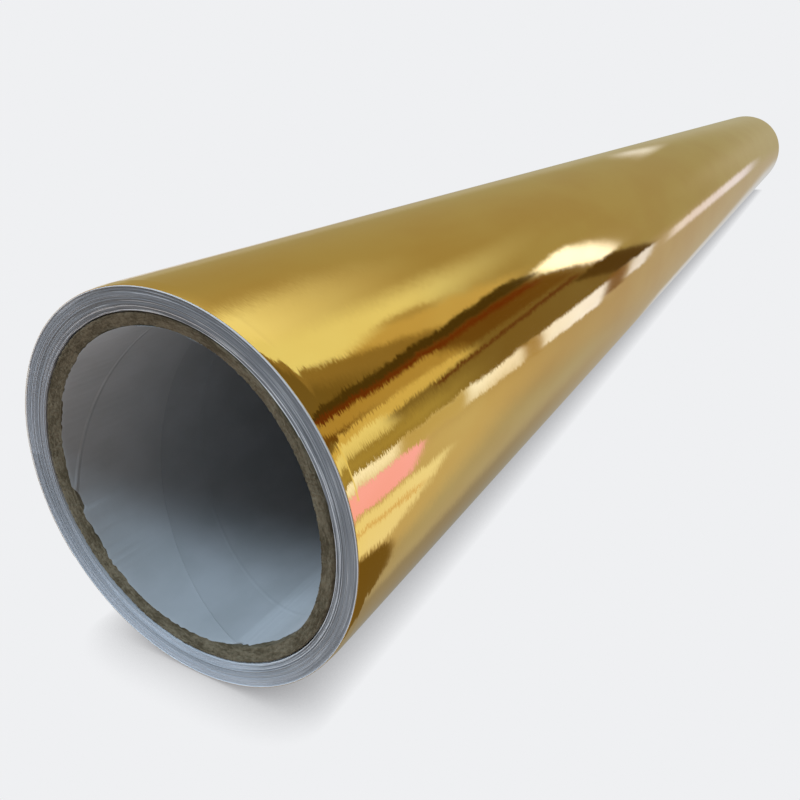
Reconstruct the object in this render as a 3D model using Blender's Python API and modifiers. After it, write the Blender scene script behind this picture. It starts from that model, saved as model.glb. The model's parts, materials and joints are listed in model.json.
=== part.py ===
"""A roll of metallised sign film on its release liner, wound face out on a spiral-wound paper core.

The roll lies on its side with its axis along Y, and its near end faces -Y. Angles round the roll are
in degrees from +X towards +Z, and the web winds outwards as the angle grows.
"""

import math

import bmesh
import bpy

# Driving dimensions, in metres.
ROLL_LENGTH = 1.067
ROLL_RADIUS = 0.0476  # mean outer radius of the outermost wrap
BORE_RADIUS = 0.0381
LINER_PLY = 0.0003
BOARD_PLY = 0.0005
BOARD_PLY_COUNT = 4
FILM = 0.0002
RELEASE_LINER = 0.0002
TAPE = 0.0002
GAP = 0.0003  # between neighbouring pieces

# Core, from the bore outwards.
CORE_RADIUS = BORE_RADIUS + LINER_PLY + BOARD_PLY_COUNT * (GAP + BOARD_PLY)
CORE_RECESS = 0.0013  # the outermost ply's end, behind the end of the winding
PLY_STAGGER = 0.0004  # how much further back each ply inside it ends
STRIP_PITCH = 0.107  # the white ply's advance along the bore in one turn
STRIP_START = -70.0  # angle where its seam meets the near end
SHORTEST_SECTION = 0.002  # a strip's pointed end is cut off where it gets this narrow

# Winding. The radius grows by one wrap in each turn, and the web's free end lies on the outermost
# wrap from TAIL_ROOT to TAIL_EDGE. It lifts about the line at TAIL_ROOT on the film's outer face.
WRAP = FILM + GAP + RELEASE_LINER + GAP
WINDING_BORE = CORE_RADIUS + GAP + TAPE + GAP
TAIL_ROOT = 150.0
TAIL_EDGE = 215.0
BUTT_GAP = math.degrees(GAP / ROLL_RADIUS)

# Tape tabs.
START_TAPE_SPAN = (60.0, 110.0)
START_TAPE_WIDTH = 0.050
CLOSING_TAPE_SPAN = (203.0, 231.0)
CLOSING_TAPE_WIDTH = 0.060
TAPE_STEP = 2.0  # degrees in which the closing tape comes down over the free edge

# Facets. One facet lies flat along the bottom of the roll.
FACETS = 64
FACET = 360.0 / FACETS
FIRST_FACET = FACET / 2
STRIP_FACETS = 32

GOLD = (0.83, 0.62, 0.22)
PAPER_WHITE = (0.84, 0.86, 0.88)
LAYERED_WHITE = (0.66, 0.70, 0.74)
CHIPBOARD = (0.30, 0.26, 0.19)
MASKING_TAPE = (0.80, 0.74, 0.58)


def clear_scene():
    for old in list(bpy.data.objects):
        bpy.data.objects.remove(old, do_unlink=True)


def material(name, colour, roughness, metallic=0.0):
    made = bpy.data.materials.new(name)
    made.use_nodes = True
    shader = made.node_tree.nodes["Principled BSDF"]
    shader.inputs["Base Color"].default_value = (*colour, 1.0)
    shader.inputs["Roughness"].default_value = roughness
    shader.inputs["Metallic"].default_value = metallic
    made.diffuse_color = (*colour, 1.0)
    return made


def web_radius(angle):
    """Outer radius of the film. The angle counts on past whole turns, up to the free edge."""
    return ROLL_RADIUS + WRAP * ((angle - TAIL_ROOT) / 360.0 + 0.5)


def polar(radius, angle):
    turned = math.radians(angle)
    return (radius * math.cos(turned), radius * math.sin(turned))


def facet_angles(start, end, facet=FACET, first=FIRST_FACET):
    """The two ends, and every facet corner between them."""
    corner = math.ceil((start - first) / facet + 0.1)
    angles = [start]
    while first + corner * facet < end - 0.1 * facet:
        angles.append(first + corner * facet)
        corner += 1
    return [*angles, end]


def band_outline(inner, outer, start, end):
    """Outline of a layer between two radii, each a function of the angle."""
    angles = facet_angles(start, end)
    out = [polar(outer(angle), angle) for angle in angles]
    back = [polar(inner(angle), angle) for angle in reversed(angles)]
    return out + back


def add_outline(curve, points):
    spline = curve.splines.new("POLY")
    spline.points.add(len(points) - 1)
    for point, (across, up) in zip(spline.points, points):
        point.co = (across, up, 0.0, 1.0)
    spline.use_cyclic_u = True


def finish_mesh(piece):
    """Smooth round faces, with sharp edges where the surface turns a corner."""
    piece.data.shade_smooth()
    piece.data.set_sharp_from_angle(angle=math.radians(30))


def mesh_from_curve(curve_object):
    """The same shape as a mesh object, with its caps joined on."""
    depsgraph = bpy.context.evaluated_depsgraph_get()
    mesh = bpy.data.meshes.new_from_object(curve_object.evaluated_get(depsgraph))
    form = bmesh.new()
    form.from_mesh(mesh)
    bmesh.ops.remove_doubles(form, verts=form.verts, dist=0.00001)
    form.to_mesh(mesh)
    form.free()
    name = curve_object.name
    matrix = curve_object.matrix_world.copy()
    bpy.data.objects.remove(curve_object, do_unlink=True)
    piece = bpy.data.objects.new(name, mesh)
    piece.matrix_world = matrix
    return piece


def extruded(name, outlines, centre, width, kit):
    """Solid with this outline across the roll, and this width along it."""
    curve = bpy.data.curves.new(name, "CURVE")
    curve.dimensions = "2D"
    curve.fill_mode = "BOTH"
    curve.extrude = width / 2
    for points in outlines:
        add_outline(curve, points)
    drawn = bpy.data.objects.new(name, curve)
    kit["collection"].objects.link(drawn)
    drawn.location = (0.0, centre, kit["axis_height"])
    drawn.rotation_euler = (math.radians(90), 0.0, 0.0)
    bpy.context.view_layer.update()
    piece = mesh_from_curve(drawn)
    kit["collection"].objects.link(piece)
    finish_mesh(piece)
    return piece


def wound_layer(name, depth, thickness, start, end, kit):
    """A layer of the web that lies this deep below the film's outer face."""
    outline = band_outline(
        lambda angle: web_radius(angle) - depth - thickness,
        lambda angle: web_radius(angle) - depth,
        start,
        end,
    )
    return extruded(name, [outline], 0.0, ROLL_LENGTH, kit)


def board_ply(number, kit):
    """One chipboard ply, turned from its own section. Number 1 lies next to the white ply."""
    inner = BORE_RADIUS + LINER_PLY + GAP + (number - 1) * (BOARD_PLY + GAP)
    recess = CORE_RECESS + (BOARD_PLY_COUNT - number) * PLY_STAGGER
    top = ROLL_LENGTH / 2 - recess
    section = [
        (inner + BOARD_PLY, 0.0, top),
        (inner + BOARD_PLY, 0.0, -top),
        (inner, 0.0, -top),
        (inner, 0.0, top),
    ]
    name = f"core_board_ply_{number}"
    mesh = bpy.data.meshes.new(name)
    mesh.from_pydata(section, [(0, 1), (1, 2), (2, 3), (3, 0)], [])
    ply = bpy.data.objects.new(name, mesh)
    kit["collection"].objects.link(ply)
    turn = ply.modifiers.new("turn", "SCREW")
    turn.steps = FACETS
    turn.render_steps = FACETS
    turn.use_merge_vertices = True
    turn.merge_threshold = 0.0001
    ply.location = (0.0, 0.0, kit["axis_height"])
    ply.rotation_euler = (math.radians(-90), math.radians(FIRST_FACET), 0.0)
    return ply


def strip_sections():
    """(angle, low, high) along the white helical strip, cut square at both ends of the core."""
    end = ROLL_LENGTH / 2 - CORE_RECESS - BOARD_PLY_COUNT * PLY_STAGGER
    step = 360.0 / STRIP_FACETS
    turns = math.ceil(2 * end / STRIP_PITCH) + 1
    for number in range(turns * STRIP_FACETS + 1):
        seam = -end + STRIP_PITCH * number / STRIP_FACETS
        low = max(-end, seam - STRIP_PITCH + GAP)
        high = min(end, seam)
        if high - low >= SHORTEST_SECTION:
            # The strip goes clockwise into the bore, seen from the near end.
            yield STRIP_START - number * step, low, high


def core_liner_ply(kit):
    """The white ply: a strip wound edge to edge inside the board, with an open butt seam."""
    form = bmesh.new()
    outer = BORE_RADIUS + LINER_PLY
    previous = None
    for angle, low, high in strip_sections():
        corners = []
        for radius, along in ((BORE_RADIUS, low), (outer, low), (outer, high), (BORE_RADIUS, high)):
            across, up = polar(radius, angle)
            corners.append(form.verts.new((across, along, up)))
        if previous is None:
            form.faces.new(corners)
        else:
            for side in range(4):
                other = (side + 1) % 4
                form.faces.new((previous[side], previous[other], corners[other], corners[side]))
        previous = corners
    form.faces.new(reversed(previous))
    bmesh.ops.recalc_face_normals(form, faces=form.faces)
    mesh = bpy.data.meshes.new("core_liner_ply")
    form.to_mesh(mesh)
    form.free()
    ply = bpy.data.objects.new("core_liner_ply", mesh)
    kit["collection"].objects.link(ply)
    ply.location = (0.0, 0.0, kit["axis_height"])
    finish_mesh(ply)
    return ply


def start_tape(name, centre, kit):
    """A tab between the core and the first wrap, which holds the web's leading edge."""
    inner = CORE_RADIUS + GAP
    outline = band_outline(lambda _: inner, lambda _: inner + TAPE, *START_TAPE_SPAN)
    return extruded(name, [outline], centre, START_TAPE_WIDTH, kit)


def inner_wraps(kit):
    """The wound web below the outermost wrap. Its outside is the spiral that the wrap lies on."""
    start = TAIL_ROOT - 360.0
    outside = [polar(web_radius(a) - WRAP, a) for a in facet_angles(start, TAIL_ROOT)]
    corners = [FIRST_FACET + number * FACET for number in range(FACETS)]
    inside = [polar(WINDING_BORE, angle) for angle in corners]
    return extruded("inner_wraps", [outside, inside], 0.0, ROLL_LENGTH, kit)


def closing_tape(kit):
    """A tab that lies on the free end, steps down over its edge and lies on the roll beyond."""
    last = TAIL_EDGE + BUTT_GAP

    def underside(angle):
        if angle <= last:
            return web_radius(angle) + GAP
        share = min(1.0, (angle - last) / TAPE_STEP)
        return web_radius(angle) + GAP - WRAP * share

    start, end = CLOSING_TAPE_SPAN
    angles = [*facet_angles(start, last), *facet_angles(last + TAPE_STEP, end)]
    out = [polar(underside(angle) + TAPE, angle) for angle in angles]
    back = [polar(underside(angle), angle) for angle in reversed(angles)]
    return extruded("closing_tape", [out + back], 0.0, CLOSING_TAPE_WIDTH, kit)


def hang_on_pivot(pieces, kit):
    """Parents the free end's pieces to an empty on the line that they turn about."""
    pivot = bpy.data.objects.new("loose_end_pivot", None)
    kit["collection"].objects.link(pivot)
    across, up = polar(web_radius(TAIL_ROOT), TAIL_ROOT)
    pivot.location = (across, 0.0, kit["axis_height"] + up)
    bpy.context.view_layer.update()
    for piece in pieces:
        piece.parent = pivot
        piece.matrix_parent_inverse = pivot.matrix_world.inverted()


def paint(pieces, coat):
    for piece in pieces:
        piece.data.materials.clear()
        piece.data.materials.append(coat)


def build():
    clear_scene()
    collection = bpy.data.collections.new("sign_vinyl_roll")
    bpy.context.scene.collection.children.link(collection)
    # The roll rests on the facet at its bottom, by the corner that lies lower.
    resting = max(
        -polar(web_radius(-90.0 + side), -90.0 + side)[1] for side in (-FACET / 2, FACET / 2)
    )
    kit = {"collection": collection, "axis_height": resting}

    film = material("film", GOLD, 0.12, 1.0)
    backing = material("backing", PAPER_WHITE, 0.6)
    winding = material("winding", LAYERED_WHITE, 0.6)
    board = material("board", CHIPBOARD, 0.95)
    lining = material("lining", PAPER_WHITE, 0.7)
    tape = material("tape", MASKING_TAPE, 0.6)

    wrap_start = TAIL_ROOT - 360.0 + BUTT_GAP
    wrap_end = TAIL_ROOT - BUTT_GAP / 2
    tail_start = TAIL_ROOT + BUTT_GAP / 2
    liner_depth = FILM + GAP

    lining_ply = core_liner_ply(kit)
    board_plies = [board_ply(number, kit) for number in range(1, BOARD_PLY_COUNT + 1)]
    tape_reach = ROLL_LENGTH / 2 - 0.100
    start_tapes = [
        start_tape("start_tape_near", -tape_reach, kit),
        start_tape("start_tape_middle", 0.0, kit),
        start_tape("start_tape_far", tape_reach, kit),
    ]
    wraps = inner_wraps(kit)
    wrap_liner = wound_layer("outer_wrap_liner", liner_depth, RELEASE_LINER, wrap_start, wrap_end, kit)
    wrap_film = wound_layer("outer_wrap_film", 0.0, FILM, wrap_start, wrap_end, kit)
    tail_liner = wound_layer("tail_liner", liner_depth, RELEASE_LINER, tail_start, TAIL_EDGE, kit)
    tail_film = wound_layer("tail_film", 0.0, FILM, tail_start, TAIL_EDGE, kit)
    closing = closing_tape(kit)

    hang_on_pivot([tail_liner, tail_film, closing], kit)
    paint([wrap_film, tail_film], film)
    paint([wrap_liner, tail_liner], backing)
    paint([wraps], winding)
    paint(board_plies, board)
    paint([lining_ply], lining)
    paint([*start_tapes, closing], tape)


build()
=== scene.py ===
"""Looks for a roll of gold mirror sign film on a paper core, lying on a pale studio floor.

Angles round the roll are in degrees from +X towards +Z. The near end faces -Y.
"""

import json
import math

import bpy
import numpy as np
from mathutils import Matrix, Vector


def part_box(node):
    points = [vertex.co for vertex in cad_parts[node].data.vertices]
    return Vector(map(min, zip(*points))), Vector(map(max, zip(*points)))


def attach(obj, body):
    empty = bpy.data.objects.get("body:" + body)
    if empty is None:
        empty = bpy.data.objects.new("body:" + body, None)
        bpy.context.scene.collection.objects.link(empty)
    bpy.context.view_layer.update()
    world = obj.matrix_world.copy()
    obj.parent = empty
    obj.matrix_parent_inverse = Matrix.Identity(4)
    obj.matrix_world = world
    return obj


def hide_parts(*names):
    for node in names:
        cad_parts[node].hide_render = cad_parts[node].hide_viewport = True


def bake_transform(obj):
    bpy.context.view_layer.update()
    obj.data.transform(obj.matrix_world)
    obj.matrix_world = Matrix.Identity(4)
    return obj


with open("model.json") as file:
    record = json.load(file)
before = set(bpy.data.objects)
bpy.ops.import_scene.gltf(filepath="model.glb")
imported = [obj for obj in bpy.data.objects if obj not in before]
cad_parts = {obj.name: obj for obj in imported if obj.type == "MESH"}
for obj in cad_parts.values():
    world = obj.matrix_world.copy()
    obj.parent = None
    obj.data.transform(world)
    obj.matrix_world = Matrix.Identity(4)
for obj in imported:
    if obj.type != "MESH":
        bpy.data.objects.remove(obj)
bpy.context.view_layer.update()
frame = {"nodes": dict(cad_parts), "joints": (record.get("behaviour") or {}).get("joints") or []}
MM = 0.001

# ---------------------------------------------------------------- sizes read from the frame


def node_points(node):
    points = np.array([vertex.co for vertex in frame["nodes"][node].data.vertices])
    return points.reshape(-1, 3)


def node_radii(node):
    """Smallest and largest distance of a node's corners from the roll's axis."""
    points = node_points(node)
    distance = np.hypot(points[:, 0], points[:, 2] - AXIS_Z)
    return distance.min(), distance.max()


AXIS_Z = float(np.mean([corner[2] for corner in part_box("core_board_ply_4")]))
NEAR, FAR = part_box("inner_wraps")[0][1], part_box("inner_wraps")[1][1]
BORE_RADIUS = node_radii("core_liner_ply")[0]
WHITE_PLY_RADIUS = node_radii("core_liner_ply")[1]
CORE_RADIUS = node_radii("core_board_ply_4")[1]
BOARD_NODES = [f"core_board_ply_{number}" for number in range(1, 5)]
CORE_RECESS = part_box("core_board_ply_4")[0][1] - NEAR
WHITE_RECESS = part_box("core_liner_ply")[0][1] - NEAR

HINGE = Vector([joint for joint in frame["joints"] if joint["name"] == "loose_end_lift"][0]["pos_m"])
TAIL_ROOT = math.degrees(math.atan2(HINGE.z - AXIS_Z, HINGE.x))
TAIL_EDGE = max(
    math.degrees(math.atan2(z - AXIS_Z, x)) % 360.0 for x, _, z in node_points("tail_film")
)

# The web at its real thickness.
FILM = 0.09 * MM
LINER = 0.14 * MM
WRAP = FILM + LINER + 0.02 * MM
FILM_RADIUS = AXIS_Z + WRAP / 6  # mean outer radius, so that the lowest point meets the floor
START_TAPE = 0.08 * MM
FIRST_RADIUS = CORE_RADIUS + START_TAPE + 0.04 * MM  # where the first wrap starts
FIRST_ANGLE = TAIL_ROOT - 360.0 * ((FILM_RADIUS - FIRST_RADIUS) / WRAP - 0.5)
OUTER_START = TAIL_ROOT - 360.0


def web_radius(angle):
    """Outer radius of the film where the web has wound to this angle."""
    return FILM_RADIUS + WRAP * ((angle - TAIL_ROOT) / 360.0 + 0.5)


# The white ply's helical seam: its pitch, and the angle where it meets the near end. The seams of the
# plies behind it show through: (angle there, how strongly).
SEAM_PITCH = 107 * MM
SEAM_START = -70.0
HIDDEN_SEAMS = ((195.0, 1.0), (341.0, 0.35))


# ---------------------------------------------------------------- smooth noise, always the same


def hashed(*cell):
    """A fixed number from 0 to 1 for a cell of whole numbers."""
    mixed = math.sin(sum(part * weight for part, weight in zip(cell, (12.9898, 78.233, 37.719))))
    return (mixed * 43758.5453) % 1.0


def wave(at, seed):
    """Smooth noise along a line, from -1 to 1, with one knot for each whole number."""
    cell = math.floor(at)
    share = at - cell
    share = share * share * (3 - 2 * share)
    low, high = hashed(cell, seed, 1), hashed(cell + 1, seed, 1)
    return 2 * (low + (high - low) * share) - 1


def ring_wave(angle, knots, seed):
    """Smooth noise round a ring that meets itself after a whole turn."""
    at = (angle % 360.0) / 360.0 * knots
    cell = math.floor(at)
    share = at - cell
    share = share * share * (3 - 2 * share)
    low, high = hashed(cell % knots, seed, 2), hashed((cell + 1) % knots, seed, 2)
    return 2 * (low + (high - low) * share) - 1


def grain(angle, radius, knots, size, seed):
    """Smooth noise over an end face, from -1 to 1, with cells of this size along the radius."""
    around, out = (angle % 360.0) / 360.0 * knots, radius / size
    cell, row = math.floor(around), math.floor(out)
    share, rise = around - cell, out - row
    rows = []
    for level in (row, row + 1):
        low, high = hashed(cell % knots, level, seed), hashed((cell + 1) % knots, level, seed)
        rows.append(low + (high - low) * share)
    return 2 * (rows[0] + (rows[1] - rows[0]) * rise) - 1


# ---------------------------------------------------------------- meshes lofted round the axis


def place(radius, along, angle):
    turned = math.radians(angle)
    return (radius * math.cos(turned), along, AXIS_Z + radius * math.sin(turned))


def loft(name, angles, section, closed=False, sharp=35.0):
    """A solid lofted round the axis. section(angle) gives its outline there as (radius, along) pairs."""
    rings = [[place(radius, along, a) for radius, along in section(a)] for a in angles]
    count = len(rings[0])
    corners = [corner for ring in rings for corner in ring]
    spans = len(rings) if closed else len(rings) - 1
    faces = []
    for ring in range(spans):
        here, there = ring * count, ((ring + 1) % len(rings)) * count
        for side in range(count):
            other = (side + 1) % count
            faces.append((here + side, here + other, there + other, there + side))
    if not closed:
        faces.append(tuple(range(count - 1, -1, -1)))
        faces.append(tuple(range(spans * count, spans * count + count)))
    mesh = bpy.data.meshes.new(name)
    mesh.from_pydata(corners, [], faces)
    mesh.shade_smooth()
    mesh.set_sharp_from_angle(angle=math.radians(sharp))
    piece = bpy.data.objects.new(name, mesh)
    bpy.context.scene.collection.objects.link(piece)
    return piece


def even(start, end, count):
    return [float(value) for value in np.linspace(start, end, count)]


def use(piece, coat, body, slot, *nodes):
    """Coats a piece, hangs it on its body and hides the CAD nodes it stands for."""
    piece.data.materials.append(coat)
    if body:
        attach(piece, body)
    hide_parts(*nodes)
    return piece


# ---------------------------------------------------------------- material building


class Nodes:
    """Short calls for building a node tree."""

    def __init__(self, tree):
        self.tree = tree

    def add(self, kind, **settings):
        node = self.tree.nodes.new(kind)
        for name, value in settings.items():
            setattr(node, name, value)
        return node

    def put(self, socket, value):
        if isinstance(value, bpy.types.NodeSocket):
            self.tree.links.new(value, socket)
        else:
            socket.default_value = value

    def maths(self, operation, *values, clamp=False):
        node = self.add("ShaderNodeMath", operation=operation, use_clamp=clamp)
        for socket, value in zip(node.inputs, values):
            self.put(socket, value)
        return node.outputs[0]

    def rise(self, value, low, high):
        """0 below low, 1 above high, smooth between."""
        node = self.add("ShaderNodeMapRange", interpolation_type="SMOOTHSTEP")
        for socket, given in zip(node.inputs, (value, low, high, 0.0, 1.0)):
            self.put(socket, given)
        return node.outputs[0]

    def remap(self, value, low, high, to_low, to_high):
        node = self.add("ShaderNodeMapRange")
        for socket, given in zip(node.inputs, (value, low, high, to_low, to_high)):
            self.put(socket, given)
        return node.outputs[0]

    def mix(self, share, first, second, blend="MIX"):
        node = self.add("ShaderNodeMix", data_type="RGBA", blend_type=blend)
        self.put(node.inputs[0], share)
        for socket, value in ((node.inputs[6], first), (node.inputs[7], second)):
            self.put(socket, (*value, 1.0) if isinstance(value, tuple) else value)
        return node.outputs[2]

    def noise(self, vector, scale, detail=2.0, roughness=0.5):
        node = self.add("ShaderNodeTexNoise")
        self.put(node.inputs["Vector"], vector)
        self.put(node.inputs["Scale"], scale)
        self.put(node.inputs["Detail"], detail)
        self.put(node.inputs["Roughness"], roughness)
        return node.outputs["Fac"]

    def stretched(self, first, per_first, second, per_second, detail):
        """Noise over two values, with so many cells for each unit of either."""
        x = self.maths("MULTIPLY", first, per_first)
        y = self.maths("MULTIPLY", second, per_second)
        return self.noise(self.join(x, y), 1.0, detail)

    def bump(self, height, distance, normal=None):
        node = self.add("ShaderNodeBump")
        self.put(node.inputs["Distance"], distance)
        self.put(node.inputs["Height"], height)
        if normal is not None:
            self.put(node.inputs["Normal"], normal)
        return node.outputs["Normal"]

    def round_place(self):
        """(along, angle, radius): metres along the roll, radians round it, metres from its axis."""
        source = self.add("ShaderNodeTexCoord").outputs["Object"]
        parts = self.add("ShaderNodeSeparateXYZ")
        self.put(parts.inputs[0], source)
        across, along = parts.outputs[0], parts.outputs[1]
        up = self.maths("SUBTRACT", parts.outputs[2], AXIS_Z)
        angle = self.maths("ARCTAN2", up, across)
        squares = [self.maths("MULTIPLY", value, value) for value in (across, up)]
        return along, angle, self.maths("SQRT", self.maths("ADD", *squares))

    def join(self, x, y, z=0.0):
        node = self.add("ShaderNodeCombineXYZ")
        for socket, value in zip(node.inputs, (x, y, z)):
            self.put(socket, value)
        return node.outputs[0]


def coat(name, colour, roughness, metallic=0.0):
    """A material with its node helper and its shader, ready for detail."""
    made = bpy.data.materials.new(name)
    made.use_nodes = True
    shader = made.node_tree.nodes["Principled BSDF"]
    shader.inputs["Base Color"].default_value = (*colour, 1.0)
    shader.inputs["Roughness"].default_value = roughness
    shader.inputs["Metallic"].default_value = metallic
    return made, Nodes(made.node_tree), shader


GOLD = (0.95, 0.67, 0.225)
GOLD_DEEP = (0.90, 0.59, 0.17)
# Streaks and waves: cells for each metre along, cells for each radian round, detail, and the slope
# that a whole step of their noise gives the film's face.
STREAKS = (4200.0, 26.0, 2.0, 0.095)
WAVES = (110.0, 4.0, 2.0, 0.040)


def gold_coat():
    """Metallised film: a mirror whose face tilts a little round the roll in short fine streaks."""
    made, nodes, shader = coat("gold_film", GOLD, 0.05, 1.0)
    along, angle, _ = nodes.round_place()

    def tilts(per_metre, per_radian, detail, slope):
        level = nodes.stretched(along, per_metre, angle, per_radian, detail)
        return nodes.maths("MULTIPLY", nodes.maths("SUBTRACT", level, 0.5), slope)

    tilt = nodes.maths("ADD", tilts(*STREAKS), tilts(*WAVES))
    sideways = nodes.maths("MULTIPLY", nodes.maths("SINE", angle), nodes.maths("MULTIPLY", tilt, -1.0))
    upwards = nodes.maths("MULTIPLY", nodes.maths("COSINE", angle), tilt)
    tilted = nodes.add("ShaderNodeVectorMath", operation="ADD")
    nodes.put(tilted.inputs[0], nodes.add("ShaderNodeNewGeometry").outputs["Normal"])
    nodes.put(tilted.inputs[1], nodes.join(sideways, 0.0, upwards))
    facing = nodes.add("ShaderNodeVectorMath", operation="NORMALIZE")
    nodes.put(facing.inputs[0], tilted.outputs[0])
    nodes.put(shader.inputs["Normal"], facing.outputs[0])
    blotch = nodes.stretched(along, 14.0, angle, 1.6, 3.0)
    nodes.put(shader.inputs["Base Color"], nodes.mix(nodes.rise(blotch, 0.35, 0.65), GOLD, GOLD_DEEP))
    nodes.put(shader.inputs["Roughness"], nodes.remap(blotch, 0.3, 0.7, 0.03, 0.06))
    return made


EDGE_LIGHT, EDGE_DARK = (0.64, 0.67, 0.72), (0.42, 0.445, 0.48)
# Colours of the painted highlight lines and painted shadow lines on the end face.
EDGE_LINE_HIGHLIGHT, EDGE_LINE_SHADOW = (0.95, 0.96, 0.98), (0.09, 0.095, 0.11)
EDGE_PAINTED_SHADE = (0.46, 0.46, 0.47)  # painted shade: what is left of the light on the end face, on the side turned away from its painted lit side
# The side of the end face that is painted lightest, in degrees; the painted shade grows towards the far
# side.
PAINTED_LIT_SIDE = 252.0
PAINTED_LINES_SIDE = 35.0  # the side of the end face where the painted highlight and shadow lines show most
# Painted highlight and shadow lines where wraps stand a little out of the end face: (radius, half width,
# how bright a painted highlight, or below 0 how dark a painted shadow).
PAINTED_WRAP_LINES = [
    (CORE_RADIUS + 0.30 * MM, 0.17 * MM, 1.0),
    (CORE_RADIUS + 0.62 * MM, 0.14 * MM, -0.8),
    (CORE_RADIUS + 1.25 * MM, 0.16 * MM, 1.0),
    (CORE_RADIUS + 1.55 * MM, 0.13 * MM, -0.8),
    (FILM_RADIUS - 1.30 * MM, 0.12 * MM, -0.5),
    (FILM_RADIUS - 0.40 * MM, 0.17 * MM, -1.0),
]


def painted_wrap_lines(nodes, radius, painted_line_share, sign):
    """Painted highlight lines (sign 1) or painted shadow lines (sign -1) where wraps stand out, as a share
    from 0 to 1.
    """
    found = 0.0
    for start, half_width, strength in PAINTED_WRAP_LINES:
        if strength * sign > 0:
            off = nodes.maths("ABSOLUTE", nodes.maths("SUBTRACT", radius, start))
            line = nodes.maths("SUBTRACT", 1.0, nodes.rise(off, 0.3 * half_width, half_width))
            line = nodes.maths("MULTIPLY", line, nodes.maths("MULTIPLY", painted_line_share, abs(strength)))
            found = nodes.maths("MAXIMUM", found, line)
    return found


def wound_edge_coat():
    """Cut edges of the liner, wrap on wrap: fine painted highlight and shadow lines, and painted shade on
    the side turned from the light.
    """
    made, nodes, shader = coat("release_liner", EDGE_LIGHT, 0.6)
    _, angle, radius = nodes.round_place()

    def rings(per_metre, per_radian, detail):
        return nodes.stretched(radius, per_metre, angle, per_radian, detail)

    def facing(degrees):
        return nodes.maths("COSINE", nodes.maths("SUBTRACT", angle, math.radians(degrees)))

    plain = nodes.mix(nodes.rise(rings(900.0, 0.5, 2.0), 0.36, 0.64), EDGE_DARK, EDGE_LIGHT)
    painted_line_share = nodes.remap(facing(PAINTED_LINES_SIDE), -0.6, 0.5, 0.15, 1.0)
    near_core = nodes.remap(radius, CORE_RADIUS, CORE_RADIUS + 3 * MM, 1.0, 0.4)
    strength = nodes.maths("MULTIPLY", painted_line_share, near_core, clamp=True)
    # Fine lines round the end face: painted highlights on the peaks of this noise and painted shadow in its
    # troughs, strongest on one side.
    lines = rings(3600.0, 2.2, 1.0)
    pale = nodes.maths("MULTIPLY", nodes.rise(lines, 0.57, 0.64), strength)
    shadow_troughs = nodes.rise(nodes.maths("SUBTRACT", 1.0, lines), 0.56, 0.66)
    deep = nodes.maths("MULTIPLY", shadow_troughs, strength)
    wander = nodes.maths("MULTIPLY", nodes.maths("SUBTRACT", rings(300.0, 5.0, 2.0), 0.5), 0.5 * MM)
    drawn = nodes.maths("ADD", radius, wander)
    pale = nodes.maths("MAXIMUM", pale, painted_wrap_lines(nodes, drawn, painted_line_share, 1))
    deep = nodes.maths("MAXIMUM", deep, painted_wrap_lines(nodes, drawn, painted_line_share, -1))
    # Painted shade: the end face darkens the further round it turns from its painted lit side.
    painted_shade = nodes.remap(facing(PAINTED_LIT_SIDE), -1.0, 1.0, 1.0, 0.0)
    shaded = nodes.mix(painted_shade, plain, EDGE_PAINTED_SHADE, "MULTIPLY")
    lined = nodes.mix(pale, nodes.mix(deep, shaded, EDGE_LINE_SHADOW), EDGE_LINE_HIGHLIGHT)
    nodes.put(shader.inputs["Base Color"], lined)
    fibres = nodes.stretched(radius, 3000.0, angle, 60.0, 2.0)
    nodes.put(shader.inputs["Normal"], nodes.bump(fibres, 0.05 * MM))
    return made


BORE_LIGHT, BORE_DARK = (0.46, 0.475, 0.49), (0.41, 0.425, 0.435)
FIBRE_BUMP = 0.02 * MM
SEAM_HALF_WIDTH, SEAM_BUMP = 0.9 * MM, 0.16 * MM


def bore_coat():
    """White core paper, with the seams of the plies behind it showing through as faint ridges."""
    made, nodes, shader = coat("white_ply", BORE_LIGHT, 0.6)
    along, angle, _ = nodes.round_place()
    depth = nodes.maths("DIVIDE", nodes.maths("SUBTRACT", along, NEAR + WHITE_RECESS), SEAM_PITCH)
    turn = nodes.maths("ADD", depth, nodes.maths("DIVIDE", angle, math.tau))
    height = 0.0
    for start, strength in HIDDEN_SEAMS:
        off = nodes.maths("FRACT", nodes.maths("SUBTRACT", turn, start / 360.0 - 0.5))
        distance = nodes.maths("ABSOLUTE", nodes.maths("SUBTRACT", off, 0.5))
        ridge = nodes.maths("SUBTRACT", 1.0, nodes.rise(distance, 0.0, SEAM_HALF_WIDTH / SEAM_PITCH))
        height = nodes.maths("ADD", height, nodes.maths("MULTIPLY", ridge, strength))
    clouds = nodes.stretched(along, 60.0, angle, 3.0, 4.0)
    nodes.put(shader.inputs["Base Color"], nodes.mix(nodes.rise(clouds, 0.3, 0.7), BORE_DARK, BORE_LIGHT))
    fibres = nodes.stretched(along, 900.0, angle, 34.0, 3.0)
    nodes.put(shader.inputs["Normal"], nodes.bump(height, SEAM_BUMP, nodes.bump(fibres, FIBRE_BUMP)))
    return made


LINER_LIGHT, LINER_DARK = (0.86, 0.88, 0.91), (0.78, 0.80, 0.84)
FILM_EDGE_LIGHT, FILM_EDGE_DARK = (0.30, 0.31, 0.32), (0.20, 0.20, 0.20)


def paper_coat(name, light, dark, roughness=0.55):
    """Coated paper, or the film's cut edge: nearly one tone, with faint clouds and fibres."""
    made, nodes, shader = coat(name, light, roughness)
    along, angle, _ = nodes.round_place()
    clouds = nodes.stretched(along, 60.0, angle, 3.0, 4.0)
    nodes.put(shader.inputs["Base Color"], nodes.mix(nodes.rise(clouds, 0.3, 0.7), dark, light))
    fibres = nodes.stretched(along, 900.0, angle, 34.0, 3.0)
    nodes.put(shader.inputs["Normal"], nodes.bump(fibres, FIBRE_BUMP))
    return made


BOARD_LIGHT, BOARD_DARK = (0.20, 0.169, 0.114), (0.080, 0.065, 0.040)


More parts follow.
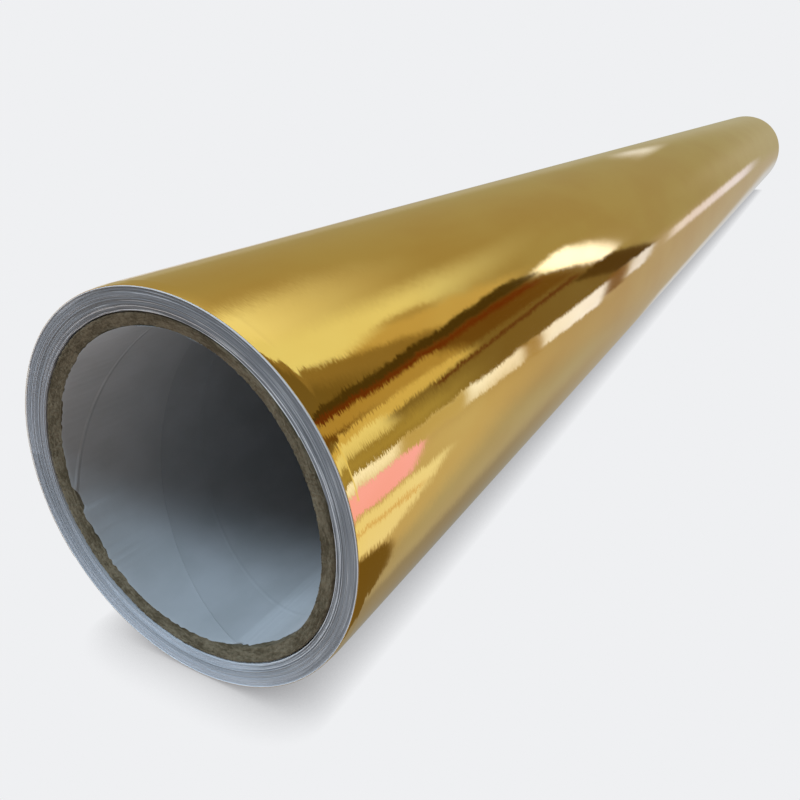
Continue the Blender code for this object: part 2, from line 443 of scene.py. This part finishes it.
def board_coat():
    """Chipboard: brown fibres matted round the core, with paler fuzz in patches."""
    made, nodes, shader = coat("chipboard", BOARD_LIGHT, 0.95)
    along, angle, radius = nodes.round_place()
    turned = nodes.maths("MULTIPLY", angle, BORE_RADIUS)

    def fibres(around, across, detail):
        places = ((turned, around), (along, across), (radius, across))
        vector = nodes.join(*[nodes.maths("MULTIPLY", value, cells) for value, cells in places])
        return nodes.noise(vector, 1.0, detail, 0.65)

    matted = fibres(700.0, 2200.0, 4.0)
    patches = fibres(120.0, 350.0, 2.0)
    tone = nodes.maths("ADD", nodes.maths("MULTIPLY", matted, 0.55), nodes.maths("MULTIPLY", patches, 0.45))
    nodes.put(shader.inputs["Base Color"], nodes.mix(nodes.rise(tone, 0.38, 0.62), BOARD_DARK, BOARD_LIGHT))
    nodes.put(shader.inputs["Normal"], nodes.bump(matted, 0.20 * MM))
    return made


TAPE_LIGHT, TAPE_DARK = (0.68, 0.60, 0.42), (0.54, 0.46, 0.29)


def tape_coat():
    """Paper tape: cream, with a fine crepe across it."""
    made, nodes, shader = coat("paper_tape", TAPE_LIGHT, 0.7)
    along, angle, _ = nodes.round_place()
    crepe = nodes.stretched(along, 1500.0, angle, 12.0, 3.0)
    nodes.put(shader.inputs["Base Color"], nodes.mix(crepe, TAPE_DARK, TAPE_LIGHT))
    nodes.put(shader.inputs["Normal"], nodes.bump(crepe, 0.06 * MM))
    return made


# ---------------------------------------------------------------- camera

CAMERA_AZIMUTH = 29.2
CAMERA_ELEVATION = 23.0
CAMERA_LENS = 33.0
# From the centre of the near end, in roll radii.
CAMERA_FROM_END = Vector((2.308, -2.013, 1.726))


def add_camera():
    data = bpy.data.cameras.new("camera")
    data.lens = CAMERA_LENS
    data.sensor_width = 36.0
    data.clip_start = 0.001
    camera = bpy.data.objects.new("camera", data)
    bpy.context.scene.collection.objects.link(camera)
    camera.location = Vector((0.0, NEAR, AXIS_Z)) + FILM_RADIUS * CAMERA_FROM_END
    turned, tipped = math.radians(CAMERA_AZIMUTH), math.radians(CAMERA_ELEVATION)
    forward = Vector((-math.sin(turned), math.cos(turned), 0.0)) * math.cos(tipped)
    forward.z = -math.sin(tipped)
    camera.rotation_euler = forward.to_track_quat("-Z", "Y").to_euler()
    bpy.context.scene.camera = camera


# ---------------------------------------------------------------- the web

FILM_SET_BACK, FILM_SET_BACK_MORE, SET_BACK_SIDE = 0.08 * MM, 0.27 * MM, 40.0
# The edge rounds inwards over a long reach and again at its rim: (drop, reach).
ROUND_EDGE, ROUND_RIM = (0.30 * MM, 2.1 * MM), (0.05 * MM, 0.5 * MM)
RIDGE_HEIGHT, RIDGE_INSET, RIDGE_HALF_WIDTH = 0.10 * MM, 3.2 * MM, 0.9 * MM
SAG_HEIGHT, SAG_LENGTH = 0.006 * MM, 30 * MM
LINER_STANDS_OUT = 0.13 * MM  # how far the outermost wrap's liner stands out past the ones inside it
EDGE_INSET = 0.25 * MM  # of the inner wraps' liner, from the end of the CAD roll
FILM_INSET = 0.05 * MM  # of the inner wraps' film, from their liner
SOFT_WRAPS = 14  # turns over which the rounding of the edge dies away inwards
DISH_SHARE = 0.85  # of the core's recess, reached by the innermost wrap
LEAN_SHARE, LEAN_SIDE = 0.8, 5.0  # how much of the recess the core's lean takes up, and on which side
# Unevenness of the winding: (mm everywhere, mm more in the first wraps, knots in a turn, seed).
WANDERS = ((0.08, 0.10, 0.9, 0), (0.03, 0.04, 7.3, 5))
FIRST_WRAPS = 5.0  # turns over which the first wraps' unevenness dies away outwards
LIP_END, BODY_START = 2.2 * MM, 4 * MM  # insets of the inner wraps' places along the web
WRAP_STEPS, OUTER_STEPS, TAIL_STEPS = 150, 361, 66  # stations round an inner wrap, and in the others


def film_set_back(angle):
    """How far the film's edge stands behind the liner's: most on the upper right."""
    facing = max(0.0, math.cos(math.radians(angle - SET_BACK_SIDE)))
    return FILM_SET_BACK + FILM_SET_BACK_MORE * facing


def edge_drop(along):
    """How far the outermost wraps round inwards near an edge of the web."""
    inset = min(along - NEAR, FAR - along)
    return sum(drop * math.exp(-inset / reach) for drop, reach in (ROUND_EDGE, ROUND_RIM))


def lip(angle, along):
    """How far the outermost film stands off its cylinder near an edge of the web."""
    inset = min(along - NEAR, FAR - along)
    strength = 0.5 + 0.5 * ring_wave(angle, 14, 3)
    ridge = RIDGE_HEIGHT * strength * math.exp(-((inset - RIDGE_INSET) / RIDGE_HALF_WIDTH) ** 2)
    return ridge - edge_drop(along)


def sag(angle, along):
    """Slow unevenness of the taut film over the wraps below it."""
    return SAG_HEIGHT * wave(along / SAG_LENGTH + 7 * ring_wave(angle, 5, 8), 21)


def stations():
    """Places along the web: close together at both edges, and spread out between them."""
    insets = [0.5 * MM, 0.65 * MM, 0.85 * MM, 1.0 * MM]
    insets += [step * 0.3 * MM for step in range(4, 24)]
    insets += [8 * MM, 10 * MM, 14 * MM, 20 * MM]  # past the lip, where little changes
    near = [NEAR] + [NEAR + inset for inset in insets]
    far = [FAR - inset for inset in reversed(insets)] + [FAR]
    middle = even(near[-1], far[0], 90)[1:-1]
    return near + middle + far


def film_section(angle, places):
    places = [NEAR + film_set_back(angle)] + places[1:-1] + [FAR - film_set_back(angle)]
    outer = [(web_radius(angle) + lip(angle, y) + sag(angle, y), y) for y in places]
    # The hidden inner face needs only its corners and a point inside either lip.
    inner = [(outer[at][0] - FILM, outer[at][1]) for at in (-1, -8, 8, 0)]
    return outer + inner


def outer_film(coat_of_gold):
    places = stations()
    angles = even(OUTER_START + 0.2, TAIL_ROOT, OUTER_STEPS)
    piece = loft("film_outer_wrap", angles, lambda angle: film_section(angle, places))
    return use(piece, coat_of_gold, "roll", "gold_film", "outer_wrap_film")


def recess_share(angle):
    """How much of the core's recess is left here: its end leans, and comes nearly flush on one side."""
    return 1.0 - LEAN_SHARE * max(0.0, math.cos(math.radians(angle - LEAN_SIDE))) ** 2


def dish(angle, radius):
    """How far the wound end face falls back towards the recessed core."""
    inward = min(1.0, max(0.0, (FILM_RADIUS - radius) / (FILM_RADIUS - CORE_RADIUS)))
    return DISH_SHARE * CORE_RECESS * recess_share(angle) * inward ** 2


def edge_wander(angle, seed):
    """How far an edge of the wound web stands out from its end face, as the roll was wound."""
    turn = (angle - FIRST_ANGLE) / 360.0
    inner = math.exp(-turn / FIRST_WRAPS)
    return sum(
        (everywhere + more * inner) * MM * wave(turn * knots, seed + own)
        for everywhere, more, knots, own in WANDERS
    )


def web_layer(name, depth, thickness, set_back, start, end, steps):
    """A layer of the web as a spiral band, this deep below the film's outer face."""

    def section(angle):
        top = web_radius(angle) - depth
        back = set_back + EDGE_INSET + dish(angle, top)
        near = NEAR + back - edge_wander(angle, 31)
        far = FAR - back + edge_wander(angle, 47)
        share = math.exp(-max(0.0, OUTER_START - angle) / 360.0 / SOFT_WRAPS)
        inside_ends = [NEAR + LIP_END, NEAR + BODY_START, FAR - BODY_START, FAR - LIP_END]
        places = [near, *inside_ends, far]
        outside = [(top - share * edge_drop(place), place) for place in places]
        inside = [(radius - thickness, place) for radius, place in reversed(outside)]
        return outside + inside

    return loft(name, even(start, end, steps), section)


def wound_web(paper, outer_paper, film_edge):
    turns = (OUTER_START - FIRST_ANGLE) / 360.0
    steps = int(turns * WRAP_STEPS)
    liner = web_layer("liner_inner_wraps", FILM, LINER, 0.0, FIRST_ANGLE, OUTER_START, steps)
    use(liner, paper, "roll", "release_liner", "inner_wraps")
    film = web_layer("film_inner_wraps", 0.0, FILM, FILM_INSET, FIRST_ANGLE, OUTER_START, steps)
    use(film, film_edge, "roll", "gold_film", "inner_wraps")
    outer = web_layer(
        "liner_outer_wrap", FILM, LINER, -LINER_STANDS_OUT, OUTER_START, TAIL_ROOT, OUTER_STEPS
    )
    use(outer, outer_paper, "roll", "release_liner", "outer_wrap_liner")


# ---------------------------------------------------------------- the free end

LINER_PAST_FILM = 0.3  # degrees by which the liner's free edge shows past the film's


def tail(paper, coat_of_gold):
    places = stations()
    angles = even(TAIL_ROOT, TAIL_EDGE, TAIL_STEPS)
    film = loft("film_free_end", angles, lambda angle: film_section(angle, places))
    use(film, coat_of_gold, None, "gold_film", "tail_film")
    ends = (TAIL_ROOT, TAIL_EDGE + LINER_PAST_FILM)
    liner = web_layer("liner_free_end", FILM, LINER, -LINER_STANDS_OUT, *ends, TAIL_STEPS)
    use(liner, paper, None, "release_liner", "tail_liner")
    for piece in (film, liner):
        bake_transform(piece)


def closing_tape(paper_tape):
    """A tab over the free edge. It follows the step down from the edge to the wrap below."""
    low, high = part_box("closing_tape")
    points = node_points("closing_tape")
    around = [math.degrees(math.atan2(z - AXIS_Z, x)) % 360.0 for x, _, z in points]
    thick, off, ragged = 0.12 * MM, 0.03 * MM, 0.25 * MM
    step_start, step_length = TAIL_EDGE + 0.35, 1.2

    def section(angle):
        step = min(1.0, max(0.0, (angle - step_start) / step_length))
        under = web_radius(angle) - WRAP * step + off
        near = low[1] + ragged * ring_wave(angle, 170, 61)
        far = high[1] + ragged * ring_wave(angle, 170, 62)
        return [(under + thick, near), (under + thick, far), (under, far), (under, near)]

    piece = loft("closing_tape_tab", even(min(around), max(around), 60), section)
    return use(piece, paper_tape, "loose_end", "tape", "closing_tape")


# ---------------------------------------------------------------- the core

BOARD_STEPS = 900
BOARD_ROWS = 6
# Fuzz on the torn board: (height, cells round the ring, cell along the radius), coarse and fine.
FUZZ = ((0.13 * MM, 900, 0.30 * MM), (0.09 * MM, 300, 0.5 * MM))
UNEVEN = 0.10 * MM
CREVICE_DEPTH, CREVICE_WIDTH = 0.7 * MM, 0.14 * MM


def board_end(angle, radius, seed):
    """How far back the torn chipboard is here: it slopes in to the bore, is fuzzy, and falls away
    into a crevice against the first wrap."""
    inward = (CORE_RADIUS - radius) / (CORE_RADIUS - WHITE_PLY_RADIUS)
    back = recess_share(angle) * (CORE_RECESS + (WHITE_RECESS - CORE_RECESS) * inward)
    for number, (height, knots, cell) in enumerate(FUZZ):
        back += height * grain(angle, radius, knots, cell, seed + number)
    back += UNEVEN * ring_wave(angle, 23, seed + 2)
    return back + CREVICE_DEPTH * math.exp(-(CORE_RADIUS - radius) / CREVICE_WIDTH)


def board_plies(board):
    """Chipboard plies that fill the core's wall, with fuzzy ends that run on from ply to ply."""
    inner = WHITE_PLY_RADIUS
    ply = (CORE_RADIUS - inner) / len(BOARD_NODES)
    for number, node in enumerate(BOARD_NODES):
        rows = even(inner + number * ply + 0.01 * MM, inner + (number + 1) * ply, BOARD_ROWS)

        def section(angle, rows=rows):
            near = [(row, NEAR + board_end(angle, row, 71)) for row in reversed(rows)]
            far = [(row, FAR - board_end(angle, row, 76)) for row in rows]
            return near + far

        angles = even(0.0, 360.0 - 360.0 / BOARD_STEPS, BOARD_STEPS)
        piece = loft(f"board_ply_{number + 1}", angles, section, closed=True)
        use(piece, board, "roll", "chipboard", node)


# Where the white ply has torn further back: (angle, half width, depth in mm).
TEARS = [(160.0, 38.0, 0.5), (198.0, 5.0, 1.0), (213.0, 9.0, 0.7), (284.0, 9.0, 0.9), (306.0, 14.0, 1.7)]


def torn_edge(angle):
    """How far the white ply's torn end stands back from its cut place."""
    tear = 0.15 + 0.25 * ring_wave(angle, 60, 91) + 0.25 * ring_wave(angle, 240, 93)
    for centre, half_width, depth in TEARS:
        away = abs((angle - centre + 180.0) % 360.0 - 180.0) / half_width
        tear += depth * math.exp(-away ** 4)
    return max(0.0, tear) * MM


def white_ply(paper):
    """The helical strip that lines the bore. Its edges meet in a butt seam and stand up a little."""
    spare, gap, lifted = 0.5 * MM, 0.06 * MM, 0.07 * MM
    first, last = NEAR + WHITE_RECESS - spare, FAR - WHITE_RECESS + spare
    steps_in_turn = 480
    turns = (last - first) / SEAM_PITCH + 1.0
    count = int(turns * steps_in_turn)

    def section(angle):
        seam = first + SEAM_PITCH * (SEAM_START - angle) / 360.0
        torn_low, torn_high = first + torn_edge(angle), last - torn_edge(-angle)
        low = max(torn_low, seam - SEAM_PITCH + gap)
        high = max(min(torn_high, seam), low + 0.01 * MM)
        bevel = min(0.7 * MM, (high - low) / 3)
        outer = WHITE_PLY_RADIUS - 0.03 * MM
        feathered, raised = outer - 0.02 * MM, BORE_RADIUS - lifted
        low_radius = feathered if low == torn_low else raised
        high_radius = feathered if high == torn_high else raised
        inside = [(BORE_RADIUS, high - bevel), (BORE_RADIUS, low + bevel)]
        return [(outer, low), (outer, high), (high_radius, high)] + inside + [(low_radius, low)]

    angles = [SEAM_START - number * 360.0 / steps_in_turn for number in range(1, count)]
    piece = loft("white_ply", angles, section)
    piece.data.flip_normals()
    return use(piece, paper, "roll", "white_paper", "core_liner_ply")


START_TAPE_ENDS = (60.0, 110.0)


def start_tapes(paper_tape):
    """Tabs that hold the web's leading edge, at their real thickness under the first wrap."""
    for node in ("start_tape_near", "start_tape_middle", "start_tape_far"):
        low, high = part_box(node)
        inner, outer = CORE_RADIUS + 0.01 * MM, CORE_RADIUS + START_TAPE
        outline = [(outer, low[1]), (outer, high[1]), (inner, high[1]), (inner, low[1])]
        piece = loft(f"{node}_tab", even(*START_TAPE_ENDS, 26), lambda _, outline=outline: outline)
        use(piece, paper_tape, "roll", "tape", node)


# ---------------------------------------------------------------- studio

BACKDROP = (0.863, 0.871, 0.888)
AMBIENT = (0.02, 0.02, 0.02)

# The room that the film mirrors: (name, azimuths, elevations, rise, lean, softness, colour). Azimuth
# is in degrees from +Y towards +X. From its first corner on, a patch rises by so many degrees of
# elevation for each of azimuth, and leans by so many degrees of azimuth for each of elevation.
ROOM = [
    ("far_wall", (-60, 8), (-2, 6), 0.0, 0.0, 6, (0.45, 0.41, 0.26)),
    ("ceiling_glow", (-22, 30), (38, 90), 0.0, 0.0, 18, (0.92, 1.00, 0.82)),
    ("side_room", (6, 60), (25.5, 60), 0.0, 0.0, 13, (0.84, 0.92, 0.70)),
    ("side_wall", (16, 60), (17.5, 31), 0.0, 0.0, 4, (0.58, 0.50, 0.25)),
    ("upper_shade", (23.5, 70), (8, 60), 0.0, 0.0, 2.5, (0.27, 0.21, 0.09)),
    ("upper_corner", (30, 70), (8, 60), 0.0, 0.0, 6, (0.17, 0.13, 0.05)),
    ("lamp", (15, 17.5), (26, 31), 0.0, 0.0, 3, (0.42, 0.36, 0.18)),
    ("side_glow", (-13.0, -9.5), (5.4, 7.4), 0.45, 0.5, 2.6, (0.85, 0.85, 0.80)),
    ("window", (16.1, 20), (4.8, 15.4), 0.0, -0.27, 1.8, (1.65, 1.8, 2.3)),
    ("cabinet", (17.2, 60), (-3, 17), 0.0, 0.05, 0.8, (0.20, 0.155, 0.065)),
    ("cabinet_inside", (18.5, 60), (7, 15), 0.25, 0.0, 2.0, (0.15, 0.085, 0.022)),
    ("open_shelf", (28.5, 60), (7.4, 13), 0.0, 0.2, 2.0, (0.66, 0.58, 0.28)),
    ("shelf_back", (28.5, 60), (10, 16), 0.40, 0.0, 2.5, (0.44, 0.34, 0.13)),
    ("cabinet_top", (17.2, 60), (14.2, 18.2), 0.36, 0.0, 0.8, (0.070, 0.048, 0.014)),
    ("red_edge", (19, 60), (11.8, 14.4), 0.42, 0.0, 1.6, (0.14, 0.040, 0.008)),
    ("shelf_light", (37.5, 60), (3.2, 9.5), 0.0, 0.0, 2.0, (0.85, 0.90, 0.70)),
    ("cabinet_end", (32.0, 70), (-3, 3.4), 0.0, 0.0, 9, (0.42, 0.37, 0.15)),
    ("red_line", (19, 33), (5.4, 6.6), 0.0, 0.0, 1.0, (0.12, 0.045, 0.015)),
    ("cabinet_side", (14.3, 17.8), (-2.2, 5), 0.0, 0.33, 0.7, (0.09, 0.056, 0.018)),
    ("skirting", (18.4, 60), (-8.4, -3.1), 0.0, 0.0, 0.6, (1.05, 1.22, 1.9)),
    ("skirting_gap", (24.0, 25.8), (-9, -2.8), 0.0, 0.1, 0.7, (0.40, 0.31, 0.13)),
    ("skirting_end", (31.6, 38.5), (-9, -2.8), 0.0, 0.0, 1.4, (0.55, 0.50, 0.32)),
    ("skirting_corner", (16.6, 18.3), (-7, -2), 0.0, 0.0, 0.7, (0.22, 0.13, 0.05)),
    ("skirting_left", (14.7, 16.4), (-6, -2.2), 0.0, -0.1, 0.8, (0.9, 1.0, 1.4)),
    ("far_skirting", (6.5, 12.8), (-2.9, -0.4), -0.25, 0.0, 1.4, (0.85, 0.84, 1.0)),
    ("pale_mat", (-14, -2), (-17, -5), 0.0, 0.4, 3, (0.62, 0.63, 0.64)),
    ("floor_middle", (8, 70), (-50, -20), 0.0, 0.0, 10, (0.44, 0.43, 0.35)),
    ("floor_right", (24, 70), (-46, -8.6), 0.0, 0.0, 10, (0.58, 0.54, 0.40)),
    ("red_sheet", (36.0, 60), (-17.4, -8.4), 0.0, 0.0, 1.0, (1.05, 0.60, 1.35)),
    ("floor_light", (31, 60), (-33, -18.6), 0.0, 0.0, 2.5, (0.92, 1.0, 0.95)),
    ("floor_line", (32.0, 60), (-24.6, -23.4), 0.0, 0.0, 1.8, (0.72, 0.56, 0.33)),
    ("floor_edge", (-5, 45), (-60, -34.3), 0.0, 1.35, 2.2, (0.17, 0.12, 0.035)),
    ("left_skirting", (-70, -34), (-10, -5), 0.0, 0.0, 3, (0.75, 0.72, 0.66)),
    ("lip_light", (47, 49.5), (-12, 14), 0.0, 0.0, 2, (0.85, 0.85, 0.55)),
    ("near_window", (63, 95), (-5, 45), 0.0, 0.0, 4, (1.3, 1.3, 1.0)),
    ("back_window", (150, 195), (8, 48), 0.0, 0.0, 6, (1.5, 1.5, 1.45)),
    ("side_window", (-125, -95), (5, 42), 0.0, 0.0, 6, (1.3, 1.3, 1.25)),
]
WALL = (0.375, 0.33, 0.165)
CEILING = (0.62, 0.58, 0.40)
ROOM_FLOOR = (0.47, 0.41, 0.30)
ROOM_FLOOR_BELOW = (0.30, 0.285, 0.24)


def patch(nodes, azimuth, elevation, azimuths, elevations, rise, lean, softness):
    """1 inside a patch of the room and 0 outside it, with a soft border."""
    tilt = nodes.maths("MULTIPLY", nodes.maths("SUBTRACT", azimuth, azimuths[0]), rise)
    shift = nodes.maths("MULTIPLY", nodes.maths("SUBTRACT", elevation, elevations[0]), lean)
    level = nodes.maths("SUBTRACT", elevation, tilt)
    side = nodes.maths("SUBTRACT", azimuth, shift)
    half = softness / 2
    inside = None
    for value, (start, end) in ((side, azimuths), (level, elevations)):
        enters = nodes.rise(value, start - half, start + half)
        leaves = nodes.rise(nodes.maths("MULTIPLY", value, -1.0), -end - half, -end + half)
        both = nodes.maths("MULTIPLY", enters, leaves)
        inside = both if inside is None else nodes.maths("MULTIPLY", inside, both)
    return inside


def add_world():
    world = bpy.data.worlds.new("studio")
    bpy.context.scene.world = world
    world.use_nodes = True
    world.cycles.sampling_method = "NONE"
    world.node_tree.nodes.clear()
    nodes = Nodes(world.node_tree)
    parts = nodes.add("ShaderNodeSeparateXYZ")
    nodes.put(parts.inputs[0], nodes.add("ShaderNodeTexCoord").outputs["Generated"])
    across, along, up = parts.outputs
    azimuth = nodes.maths("DEGREES", nodes.maths("ARCTAN2", across, along))
    elevation = nodes.maths("DEGREES", nodes.maths("ARCSINE", up))
    above = nodes.mix(nodes.rise(elevation, 25.0, 75.0), WALL, CEILING)
    depth = nodes.maths("MULTIPLY", elevation, -1.0)
    below = nodes.mix(nodes.rise(depth, 12.0, 38.0), ROOM_FLOOR, ROOM_FLOOR_BELOW)
    room = nodes.mix(nodes.rise(elevation, -4.0, 1.0), below, above)
    for _, azimuths, elevations, rise, lean, softness, colour in ROOM:
        share = patch(nodes, azimuth, elevation, azimuths, elevations, rise, lean, softness)
        room = nodes.mix(share, room, colour)
    ray = nodes.add("ShaderNodeLightPath").outputs
    plain = nodes.mix(ray["Is Camera Ray"], AMBIENT, BACKDROP)
    background = nodes.add("ShaderNodeBackground")
    nodes.put(background.inputs["Color"], nodes.mix(ray["Is Glossy Ray"], plain, room))
    output = nodes.add("ShaderNodeOutputWorld")
    nodes.put(output.inputs["Surface"], background.outputs[0])


FLOOR_SIZE = 60.0
FLOOR_GLOW = (0.60, 0.52, 0.47)
FLOOR_SHADE = (0.20, 0.20, 0.21)
SHADE_REACH = 0.0125


def add_floor():
    """A pale glowing floor that lights the roll a little, with a painted contact shadow where the roll
    touches it.
    """
    mesh = bpy.data.meshes.new("floor")
    half = FLOOR_SIZE / 2
    corners = [(-half, -half, 0), (half, -half, 0), (half, half, 0), (-half, half, 0)]
    mesh.from_pydata(corners, [], [(0, 1, 2, 3)])
    floor = bpy.data.objects.new("floor", mesh)
    bpy.context.scene.collection.objects.link(floor)
    made = bpy.data.materials.new("floor")
    made.use_nodes = True
    made.node_tree.nodes.clear()
    nodes = Nodes(made.node_tree)
    # Painted contact shadow: occlusion near the roll darkens the floor's glow towards FLOOR_SHADE.
    hidden = nodes.add("ShaderNodeAmbientOcclusion", samples=8)
    nodes.put(hidden.inputs["Distance"], SHADE_REACH)
    pale = nodes.mix(hidden.outputs["AO"], FLOOR_SHADE, BACKDROP)
    seen = nodes.add("ShaderNodeLightPath").outputs["Is Camera Ray"]
    glow = nodes.add("ShaderNodeEmission")
    nodes.put(glow.inputs["Color"], nodes.mix(seen, FLOOR_GLOW, pale))
    nodes.put(nodes.add("ShaderNodeOutputMaterial").inputs["Surface"], glow.outputs[0])
    mesh.materials.append(made)
    floor.visible_glossy = False


def add_area(name, place_at, aim, size, watts, colour):
    data = bpy.data.lights.new(name, "AREA")
    data.shape = "RECTANGLE"
    data.size, data.size_y = size
    data.energy = watts
    data.color = colour
    light = bpy.data.objects.new(name, data)
    bpy.context.scene.collection.objects.link(light)
    light.location = place_at
    light.rotation_euler = (Vector(aim) - Vector(place_at)).to_track_quat("-Z", "Y").to_euler()
    light.visible_glossy = False


NEAR_END, FAR_END = (0.0, NEAR, AXIS_Z), (0.0, FAR, AXIS_Z)
# A bluish key above the near end, softboxes over the roll and at its far end, and a low card:
# (name, place, aim, size, watts, colour).
LIGHTS = [
    ("key_softbox", (-0.20, NEAR - 0.62, 1.45), NEAR_END, (0.6, 0.6), 19.5, (0.675, 0.84, 1.0)),
    ("top_softbox", (0.3, 0.2, 2.2), (0.0, 0.0, 0.0), (2.0, 2.0), 3.0, (1.0, 0.98, 0.95)),
    ("far_softbox", (-0.25, FAR + 0.7, 0.75), FAR_END, (0.6, 0.6), 7.0, (0.90, 0.95, 1.0)),
    ("low_card", (-0.09, NEAR - 0.09, 0.006), (-0.02, NEAR, 0.02), (0.16, 0.03), 0.09, (0.70, 0.84, 1.0)),
]


def add_lights():
    for row in LIGHTS:
        add_area(*row)


# ---------------------------------------------------------------- assembly


def main():
    add_camera()
    add_world()
    add_floor()
    add_lights()
    bpy.context.scene.view_settings.view_transform = "Standard"

    gold = gold_coat()
    wound_edge = wound_edge_coat()
    liner = paper_coat("liner_face", LINER_LIGHT, LINER_DARK)
    film_edge = paper_coat("film_edge", FILM_EDGE_LIGHT, FILM_EDGE_DARK, 0.4)
    white = bore_coat()
    board = board_coat()
    paper_tape = tape_coat()

    outer_film(gold)
    wound_web(wound_edge, liner, film_edge)
    tail(liner, gold)
    closing_tape(paper_tape)
    board_plies(board)
    white_ply(white)
    start_tapes(paper_tape)


main()
